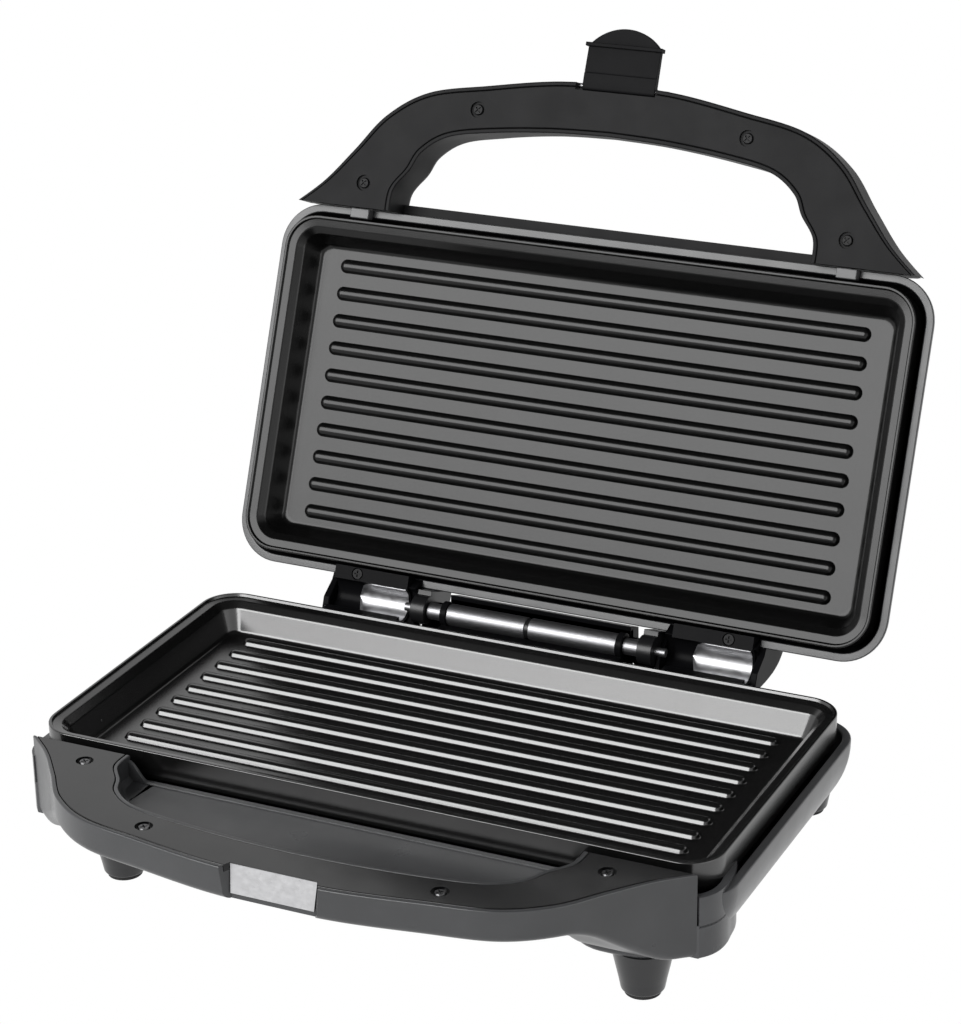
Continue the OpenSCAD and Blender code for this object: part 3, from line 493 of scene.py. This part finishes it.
# Radius and height over the table
FOOT = soft([(0.1, 22), (13.2, 22, 0), (9.9, 7.0, 2), (9.0, 2.2, 1.4), (7.6, 1.8, 0.3), (0.1, 1.8)], 4)
feet = Piece()
for foot_x, foot_y in ((121.5, -162.4), (129, 10)):
    feet.lathe([(r, h - HINGE_H) for r, h in FOOT], (foot_x, foot_y, 0))
feet.mirrored()
make(feet, "tapered_feet", base, ["housing"], "base", ["feet"], 40)


def dome():
    """The lid's housing."""
    p = Piece()
    pts = curve([(62, -44), (34, -42.6), (20, -39), (11, -35), (5.6, -28), (1.2, -14), (0, -9.6)], 6)
    rings = [housing_ring(d, d * 0.8, z) for d, z in pts]
    rings += rim(EDGE_Z, -9.0, 0.8)
    rings.append(ring(HOUSING_HALF_W - 16, HOUSING_HALF_D - 12, 15, -36, n=14))
    return p.skin(rings)


def on_circle(r, angles):
    """Points (y, z) on a circle about the hinge axis, on the side of negative z."""
    return [(r * math.cos(math.radians(a)), -r * math.sin(math.radians(a))) for a in angles]


# Where an ear begins and ends in x, and how thick its two side plates are
EAR_X0, EAR_X1, EAR_PLATE_IN, EAR_PLATE_OUT = 62, 105, 2, 3
# The bowls' radius, and that of the bright sheets in them which paint the bowls' reflection
BOWL_R, REFLECTION_SHEET_R = 8.7, 7.5
EAR_ROOT = [(REAR_Y - 4, -9), (REAR_Y - 4, -33)]
EAR_BACK = [(REAR_Y + 1.5, -32.6), (-5.2, -31), (-2.3, -28.5), (0.8, -24.4), (3.4, -19.7),
            (6, -14), (8.2, -8.3), (9.8, -4), (10.4, -1)]


def ears():
    """The two hinge ears: each a block with a bowl in it between two plates; the block and inner plate take
    the unreflecting black of painted shade, the outer plate the glossier housing plastic, so it is lighter.
    """
    p = Piece()
    back = EAR_ROOT + [tuple(q) for q in curve(EAR_BACK, 4)]
    p.prism(back + [(9.0, -1)] + on_circle(BOWL_R, range(8, 173, 8)), EAR_X0, EAR_X1)
    plate = back + [(2, -1), (-6, -7)]
    p.prism(plate, EAR_X0 - EAR_PLATE_IN, EAR_X0)
    p.prism(plate, EAR_X1, EAR_X1 + EAR_PLATE_OUT, 1)
    return p.mirrored()


make(dome(), "upper_housing", lid, ["housing"], "lid", ["lid_housing"], 40)
make(ears(), "upper_housing_ears", lid, ["flange", "housing"], "lid", [], 35, 0.35)


WALL_X, WALL_END_X = 45, 62


def bracket_walls():
    """The rear wall behind the barrel, its top parallel to the open lid, and two lower ends."""
    p = Piece()
    p.prism([(6.8, -13), (6.8, 6.5), (16, 2.7), (16, -13)], -WALL_X, WALL_X)
    p.block(WALL_X, 9.8, -17, WALL_END_X, 12.5, -1)
    p.block(-WALL_END_X, 9.8, -17, -WALL_X, 12.5, -1)
    return p


def scoop_liner(x0, x1):
    """A bright metal sheet in an ear's bowl, a painted reflection of the soft box: part of a tube whose
    left end is round.
    """
    rows = []
    for k in range(13):
        s = k / 12
        reach = 86 * math.sqrt(max(1 - (1 - min(s * (x1 - x0) / 8, 1)) ** 2, 0.004))
        line = on_circle(REFLECTION_SHEET_R, np.linspace(96 - reach, 96 + reach * 0.8, 25))
        line += [(y * 0.965, z * 0.965) for y, z in reversed(line)]
        rows.append([(x0 + (x1 - x0) * s, y, z) for y, z in line])
    return rows


# The hinge's rear walls and pads take the black with painted shade.
make(bracket_walls(), "hinge_bracket_walls", base, ["flange"], "base", [], 30, 0.3)
pads = Piece()
for x0, x1 in ((66, 104), (-104, -66)):
    pads.block(x0, REAR_Y - 4.6, EDGE_Z, x1, REAR_Y + 4.8, EDGE_Z + 4.4)
    pads.block(x0, REAR_Y + 2, -19, x1, REAR_Y + 4.8, EDGE_Z + 1)
make(pads, "hinge_mount_pads", base, ["flange"], "base", ["base_hinge_mounts"], 30, 0.4)
# Bright sheets inside the ears' bowls: painted reflection of the soft box.
reflection_sheets = Piece()
for x0, x1 in ((-92, -67), (75, 103)):
    reflection_sheets.skin(scoop_liner(x0, x1))
make(reflection_sheets, "scoop_liners", lid, ["scoop"], "lid", [], 40)


# Handles
# The right half of both edges, from the middle to the leg's end
OUTER = curve([(0, -249), (30, -247.5), (62, -242.5), (92, -236.5), (112, -224), (126, -206.5),
               (139.6, -190.3), (155.5, -176.8)], 10)
INNER = curve([(0, -225), (28, -224), (58, -221), (79, -217), (91, -209), (96, -200),
               (103, -190), (103.5, -176.8)], 10)
SCREWS, SCREW_SEAT_R, SCREW_SEAT_Z = [(118.6, -191.5), (66, -231)], 3.75, -1.6
# The latch recesses' lowest level, and a line beyond the handles' front
RECESS_Z, BEYOND_Y = -18, -262


def sweep(section):
    """Carries a section of (edge, distance inwards, z) from the left leg to the right one."""
    rings = []
    for k in range(1 - len(OUTER), len(OUTER)):
        j, sx = abs(k), -1 if k < 0 else 1
        o, i = OUTER[j], INNER[j]
        u = (i - o) / np.linalg.norm(i - o)
        g = []
        for side, dist, z in section(j):
            q = o + u * dist if side == "o" else i - u * dist
            g.append((sx * q[0], q[1], z))
        rings.append(g)
    return rings


def blend(step, bar, leg, x0, x1):
    """Goes over from the bar's value to the leg's between x0 and x1."""
    return bar + (leg - bar) * smooth01((OUTER[step][0] - x0) / (x1 - x0))


def arc(side, cx, cz, r, a0, a1, n):
    """Points round a corner; cx grows inwards from the named edge."""
    turns = [math.radians(a0 + (a1 - a0) * i / n) for i in range(n + 1)]
    return [(side, cx + r * math.cos(t), cz + r * math.sin(t)) for t in turns]


def shell_section(h, r_out=3.5, r_in=3.0):
    """A closed shell of depth h with a groove for the cover and rounded lower corners."""
    s = [("o", 1.9, -3.4), ("o", 1.9, -1.2)]
    s += arc("o", 1.5, -0.8, 0.4, 0, 90, 3)
    s += arc("o", 0.7, -1.1, 0.7, 90, 180, 4)
    s += [("o", 0.1, -(h + 1.1) / 2)]
    s += arc("o", r_out + 0.2, -h + r_out, r_out, 180, 270, 5)
    s += arc("i", r_in, -h + r_in, r_in, 270, 180, 5)
    s += arc("i", 0.6, -1.0, 0.6, 180, 90, 3)
    s += arc("i", 1.5, -0.8, 0.4, 90, 0, 3)
    s += [("i", 1.9, -1.2), ("i", 1.9, -3.4)]
    return s


def cover_section():
    """A flat cover that lies in the shell's groove."""
    s = [("o", 2.15, -3.4), ("o", 2.15, -1.2)]
    s += arc("o", 2.65, -0.9, 0.5, 180, 90, 3)
    s += arc("i", 2.65, -0.9, 0.5, 90, 180, 3)
    s += [("i", 2.15, -1.2), ("i", 2.15, -3.4)]
    return s


def lower_recess():
    """The lower handle's latch recess: a leaning face with flared sides."""
    rings = []
    for z, face, hw in ((2, -242.6, 19.6), (-0.4, -243.0, 19.5), (RECESS_Z, -245.2, 18.4)):
        half = [(hw, face, z), (hw + 0.3, face - 0.6, z), (hw + 3.2, -249.6, z), (hw + 8, BEYOND_Y, z)]
        rings.append([(-hw, face, z)] + half + [(-x, y, z) for x, y, z in reversed(half[1:])])
    return rings


def upper_recess():
    """The upper handle's recess, straight behind the latch."""
    face, rings = -244.75, []
    for z, hw in ((2, 19.6), (RECESS_Z, 19.2)):
        rings.append([(-hw, face, z), (hw, face, z), (hw, BEYOND_Y, z), (-hw, BEYOND_Y, z)])
    return rings


def handle_cut(recess, screws=False):
    """What is cut from a handle: all behind its end, the latch recess and the screws' seats in a cover."""
    p = Piece().block(-220, STOP, -80, 220, STOP + 60, 20)
    p.skin(recess)
    if screws:
        for x, y in SCREWS:
            for sx in (-1, 1):
                p.lathe([(SCREW_SEAT_R, SCREW_SEAT_Z), (SCREW_SEAT_R, 4)], (sx * x, y, 0), n=40)
    return p


def lower_shell():
    return Piece().skin(sweep(lambda j: shell_section(blend(j, 15.1, 37.5, 114, 146))))


def cover():
    return Piece().skin(sweep(lambda j: cover_section()))


make(lower_shell(), "lower_shell", base, ["shell"], "base", ["lower_handle_shell"], 34,
     cut=handle_cut(lower_recess()))
make(cover(), "lower_cover", base, ["cover"], "base", ["lower_handle_cover"], 34,
     cut=handle_cut(lower_recess(), True))


# The top and the underside of the pocket's floor
POCKET_TOP_Z, POCKET_Z = -11.6, -14.6


def pocket():
    """The finger pocket: a floor between the legs, closed behind by a low wall whose ends rise in an S."""
    p = Piece()
    rows = []
    back_y = STOP - 1.2
    for k in range(-66, 67):
        j, sx = abs(k), -1 if k < 0 else 1
        i, o = INNER[j], OUTER[j]
        u = (o - i) / np.linalg.norm(o - i)
        q = i + u * 1.0
        w = i - u * 1.8
        back_x = w[0] - 3 if j > 50 else w[0]
        row = [(q[0], q[1], -8.5), (i[0], i[1], -9.3), (w[0], w[1], -11.2),
               (w[0], min(w[1] + 2.5, back_y), POCKET_TOP_Z), (back_x, back_y, POCKET_TOP_Z),
               (back_x, back_y, POCKET_Z), (q[0], q[1], POCKET_Z)]
        rows.append([(sx * x, y, z) for x, y, z in row])
    p.skin(rows)
    wall = []
    for x in np.linspace(-104.5, 104.5, 120):
        top = -11.0 + 8.6 * smooth01((abs(x) - 94.5) / 9.0)
        line = ((STOP - 1.6, POCKET_Z), (STOP - 1.6, top - 0.3), (STOP - 1.3, top),
                (STOP - 0.2, top), (STOP, top - 0.3), (STOP, POCKET_Z))
        wall.append([(x, y, z) for y, z in line])
    p.skin(wall)
    return p


make(pocket(), "finger_pocket", base, ["shell"], "base", [], 40)

# A thin bright metal sheet on the face of the lower recess: painted reflection of the soft box
strike_painted_reflection = []
for z, y, hw in ((-0.7, -243.0, 19.3), (-6.5, -244.1, 18.9), (-12.6, -245.25, 18.5)):
    strike_painted_reflection.append([(-hw, y - 0.02, z), (hw, y - 0.02, z), (hw, y - 0.35, z), (-hw, y - 0.35, z)])
make(Piece().skin(strike_painted_reflection), "latch_face_painted_reflection", base, ["strike_painted_reflection"], "base", [], 40)


def upper_shell():
    """Its legs are rounded at the back, and a guard strip joins them."""
    p = Piece()
    p.skin(sweep(lambda j: shell_section(blend(j, 13, 29, 10, 112), blend(j, 3, 22, 70, 120),
                                         blend(j, 2.5, 9.5, 60, 110))))
    p.block(-104, STOP - 4.6, -24, 104, STOP, -16)
    return p


# The upper handle's shell and cover take the plastic copy with painted shade.
make(upper_shell(), "upper_shell", lid, ["upper_handle_painted_shade"], "lid", ["upper_handle_shell"], 34,
     cut=handle_cut(upper_recess()))
make(cover(), "upper_cover", lid, ["upper_handle_painted_shade"], "lid", ["upper_handle_cover"], 34,
     cut=handle_cut(upper_recess(), True))

# The pivot's place on the lid, then the plate's length to its ridge, half width and thumb tab
LATCH_Y, LATCH_Z, LATCH_L, LATCH_HW, TAB_L = -247.4, 6.0, 18.9, 17.7, 8.4


def latch():
    """Drawn standing out: y along the plate, z negative towards the lid's back as on all lid pieces."""
    p = Piece()
    end = -LATCH_L
    side = [(2.3, -0.4), (2.3, 0.7), (1.6, 1.9), (0.6, 2.35), (-5.9, 2.3), (-6.3, 1.9), (-6.7, 2.1),
            (end - 0.2, 1.5), (end - 0.2, -1.05), (-2.0, -1.1), (-1.3, -2.0), (0, -2.35), (1.3, -1.9)]
    p.prism(side, -LATCH_HW, LATCH_HW)
    ridge = soft([(end - 1, -1.05), (end - 0.9, -1.05), (end - 0.9, 3.2, 0.5), (end + 0.9, 3.2, 0.5),
                  (end + 0.9, -1.05)], 3)
    p.prism(ridge[1:], -LATCH_HW - 1.0, LATCH_HW + 1.0)
    r = (LATCH_HW ** 2 + TAB_L ** 2) / (2 * TAB_L)
    half = math.asin(LATCH_HW / r)
    plan = [(r * math.sin(half * (k / 24 - 1)), end - TAB_L + r - r * math.cos(half * (k / 24 - 1)))
            for k in range(49)]
    plan += [(LATCH_HW, end + 0.4), (-LATCH_HW, end + 0.4)]
    rows = []
    for k, z in ((0.02, -1.05), (0, -0.6), (0, 0.6), (0.02, 1.05)):
        rows.append([(x * (1 - k), y + (8 * k if y < end else 0), z) for x, y in plan])
    p.skin(rows)
    p.v = [(x, y + LATCH_Y, z - LATCH_Z) for x, y, z in p.v]
    return p


make(latch(), "latch_plate", lid, ["latch"], "latch", ["latch"], 30, 0.25)


# Small parts that keep the CAD form
for node, mat, body, slot, bevel in (
        ("lower_handle_screws", "screw", "base", "screw_steel", 0.15),
        # The lid's screws take the dark screw copy with painted shade.
        ("upper_handle_screws", "screw_painted_shade", "lid", "screw_steel", 0.15),
        ("base_hinge_screws", "screw", "base", "screw_steel", 0.15),
        ("lid_hinge_screws", "screw_painted_shade", "lid", "screw_steel", 0.15),
        ("hinge_barrel", "chrome", "base", "hinge_chrome", 0.3),
        ("hinge_rod", "chrome", "base", "hinge_chrome", 0.3),
        ("hinge_barrel_collar", "black", "base", "black_plastic", 0.2),
        # The hinge's bracket and the lid's hinge covers take the same black with painted shade.
        ("hinge_bracket", "flange", "base", "black_plastic", 0.4),
        ("lid_hinge_knuckles", "black", "lid", "black_plastic", 0.5),
        ("lid_hinge_covers", "flange", "lid", "black_plastic", 0.4),
        ("cover_tabs", "tab", "lid", "tab_plastic", 0.4),
        ("foot_soles", "rubber", "base", "sole_rubber", 0.3),
        ("cord_gland", "black", "base", "black_plastic", 0.4),
        ("indicator_lenses", "lens", "lid", "lens_plastic", 0.4)):
    dress(node, mat, body, bevel)

# Nodes that stay as part.scad made them: the hidden ones and the latch's pin
KEEP = {
    "lower_heating_element": "steel", "upper_heating_element": "steel", "latch_pin": "steel",
    "lower_reflector": "steel", "upper_reflector": "steel",
    "lower_plate_screws": "screw", "upper_plate_screws": "screw",
    "thermostat": "ceramic", "thermal_fuse": "ceramic", "terminal_block": "ceramic"}
for node, key in KEEP.items():
    data = frame["nodes"][node].data
    data.materials.clear()
    data.materials.append(M[key])


# Floor, world and lamps
FLOOR_HALF_M = 12.0


def floor():
    """A pale floor, plain white to the camera and in reflections."""
    me = bpy.data.meshes.new("floor")
    s = FLOOR_HALF_M
    me.from_pydata([(-s, -s, 0), (s, -s, 0), (s, s, 0), (-s, s, 0)], [], [(0, 1, 2, 3)])
    o = link("floor", me)
    mat = bpy.data.materials.new("pale_floor")
    mat.use_nodes = True
    nt = mat.node_tree
    nt.nodes.clear()
    out = add(nt, "ShaderNodeOutputMaterial")
    dif = add(nt, "ShaderNodeBsdfDiffuse", Color=(0.86, 0.86, 0.86, 1))
    emi = add(nt, "ShaderNodeEmission", Color=(1, 1, 1, 1), Strength=1.0)
    mix = add(nt, "ShaderNodeMixShader")
    path = add(nt, "ShaderNodeLightPath")
    seen = add(nt, "ShaderNodeMath", operation="MAXIMUM")
    nt.links.new(path.outputs["Is Camera Ray"], seen.inputs[0])
    nt.links.new(path.outputs["Is Glossy Ray"], seen.inputs[1])
    nt.links.new(seen.outputs[0], mix.inputs["Fac"])
    nt.links.new(dif.outputs[0], mix.inputs[1])
    nt.links.new(emi.outputs[0], mix.inputs[2])
    nt.links.new(mix.outputs[0], out.inputs["Surface"])
    me.materials.append(mat)


floor()


# How strong the world is as light and in reflections, near the horizon and high up
DIM_LIGHT, BRIGHT, DARK = 0.35, 0.95, 0.04
BRIGHT_TO, DARK_FROM = math.radians(30), math.radians(48)


def world():
    """White to the camera, dim as light, and in reflections bright low down and dark high up."""
    w = bpy.data.worlds.new("studio")
    bpy.context.scene.world = w
    w.use_nodes = True
    nt = w.node_tree
    nt.nodes.clear()
    out = add(nt, "ShaderNodeOutputWorld")
    co = add(nt, "ShaderNodeTexCoord")
    sep = add(nt, "ShaderNodeSeparateXYZ")
    nt.links.new(co.outputs["Generated"], sep.inputs[0])
    band = add(nt, "ShaderNodeMapRange", interpolation_type="SMOOTHSTEP")
    band.inputs["From Min"].default_value = math.sin(BRIGHT_TO)
    band.inputs["From Max"].default_value = math.sin(DARK_FROM)
    band.inputs["To Min"].default_value = BRIGHT
    band.inputs["To Max"].default_value = DARK
    nt.links.new(sep.outputs["Z"], band.inputs["Value"])
    path = add(nt, "ShaderNodeLightPath")
    seen = add(nt, "ShaderNodeMath", operation="ADD")
    nt.links.new(path.outputs["Is Glossy Ray"], seen.inputs[0])
    nt.links.new(path.outputs["Is Transmission Ray"], seen.inputs[1])
    lit = add(nt, "ShaderNodeMix", data_type="FLOAT")
    lit.inputs[2].default_value = DIM_LIGHT
    nt.links.new(seen.outputs[0], lit.inputs[0])
    nt.links.new(band.outputs["Result"], lit.inputs[3])
    cam = add(nt, "ShaderNodeMix", data_type="FLOAT")
    nt.links.new(path.outputs["Is Camera Ray"], cam.inputs[0])
    nt.links.new(lit.outputs[0], cam.inputs[2])
    cam.inputs[3].default_value = 1.0
    bg = add(nt, "ShaderNodeBackground", Color=(1, 1, 1, 1))
    nt.links.new(cam.outputs[0], bg.inputs["Strength"])
    nt.links.new(bg.outputs[0], out.inputs["Surface"])


world()


def panel(name, azimuth, elevation, dist, w, h, radiance):
    """A soft box aimed at the toaster. Azimuth: degrees from the front towards the left. Sizes: metres."""
    a, e = math.radians(azimuth), math.radians(elevation)
    d = Vector((-math.sin(a) * math.cos(e), -math.cos(a) * math.cos(e), math.sin(e)))
    data = bpy.data.lights.new(name, "AREA")
    data.shape = "RECTANGLE"
    data.size = w
    data.size_y = h
    # an area light's energy over four times its area is the radiance that is seen
    data.energy = radiance * 4 * w * h
    o = link(name, data)
    o.location = Vector((0, 0, 0.1)) + d * dist
    o.rotation_euler = (-d).to_track_quat("-Z", "Y").to_euler()


panel("soft_box", 25, 30, 3.0, 2.4, 1.7, 6)
panel("right_card", -75, 6, 2.2, 1.6, 0.9, 1.6)

bpy.context.scene.view_settings.view_transform = "Standard"
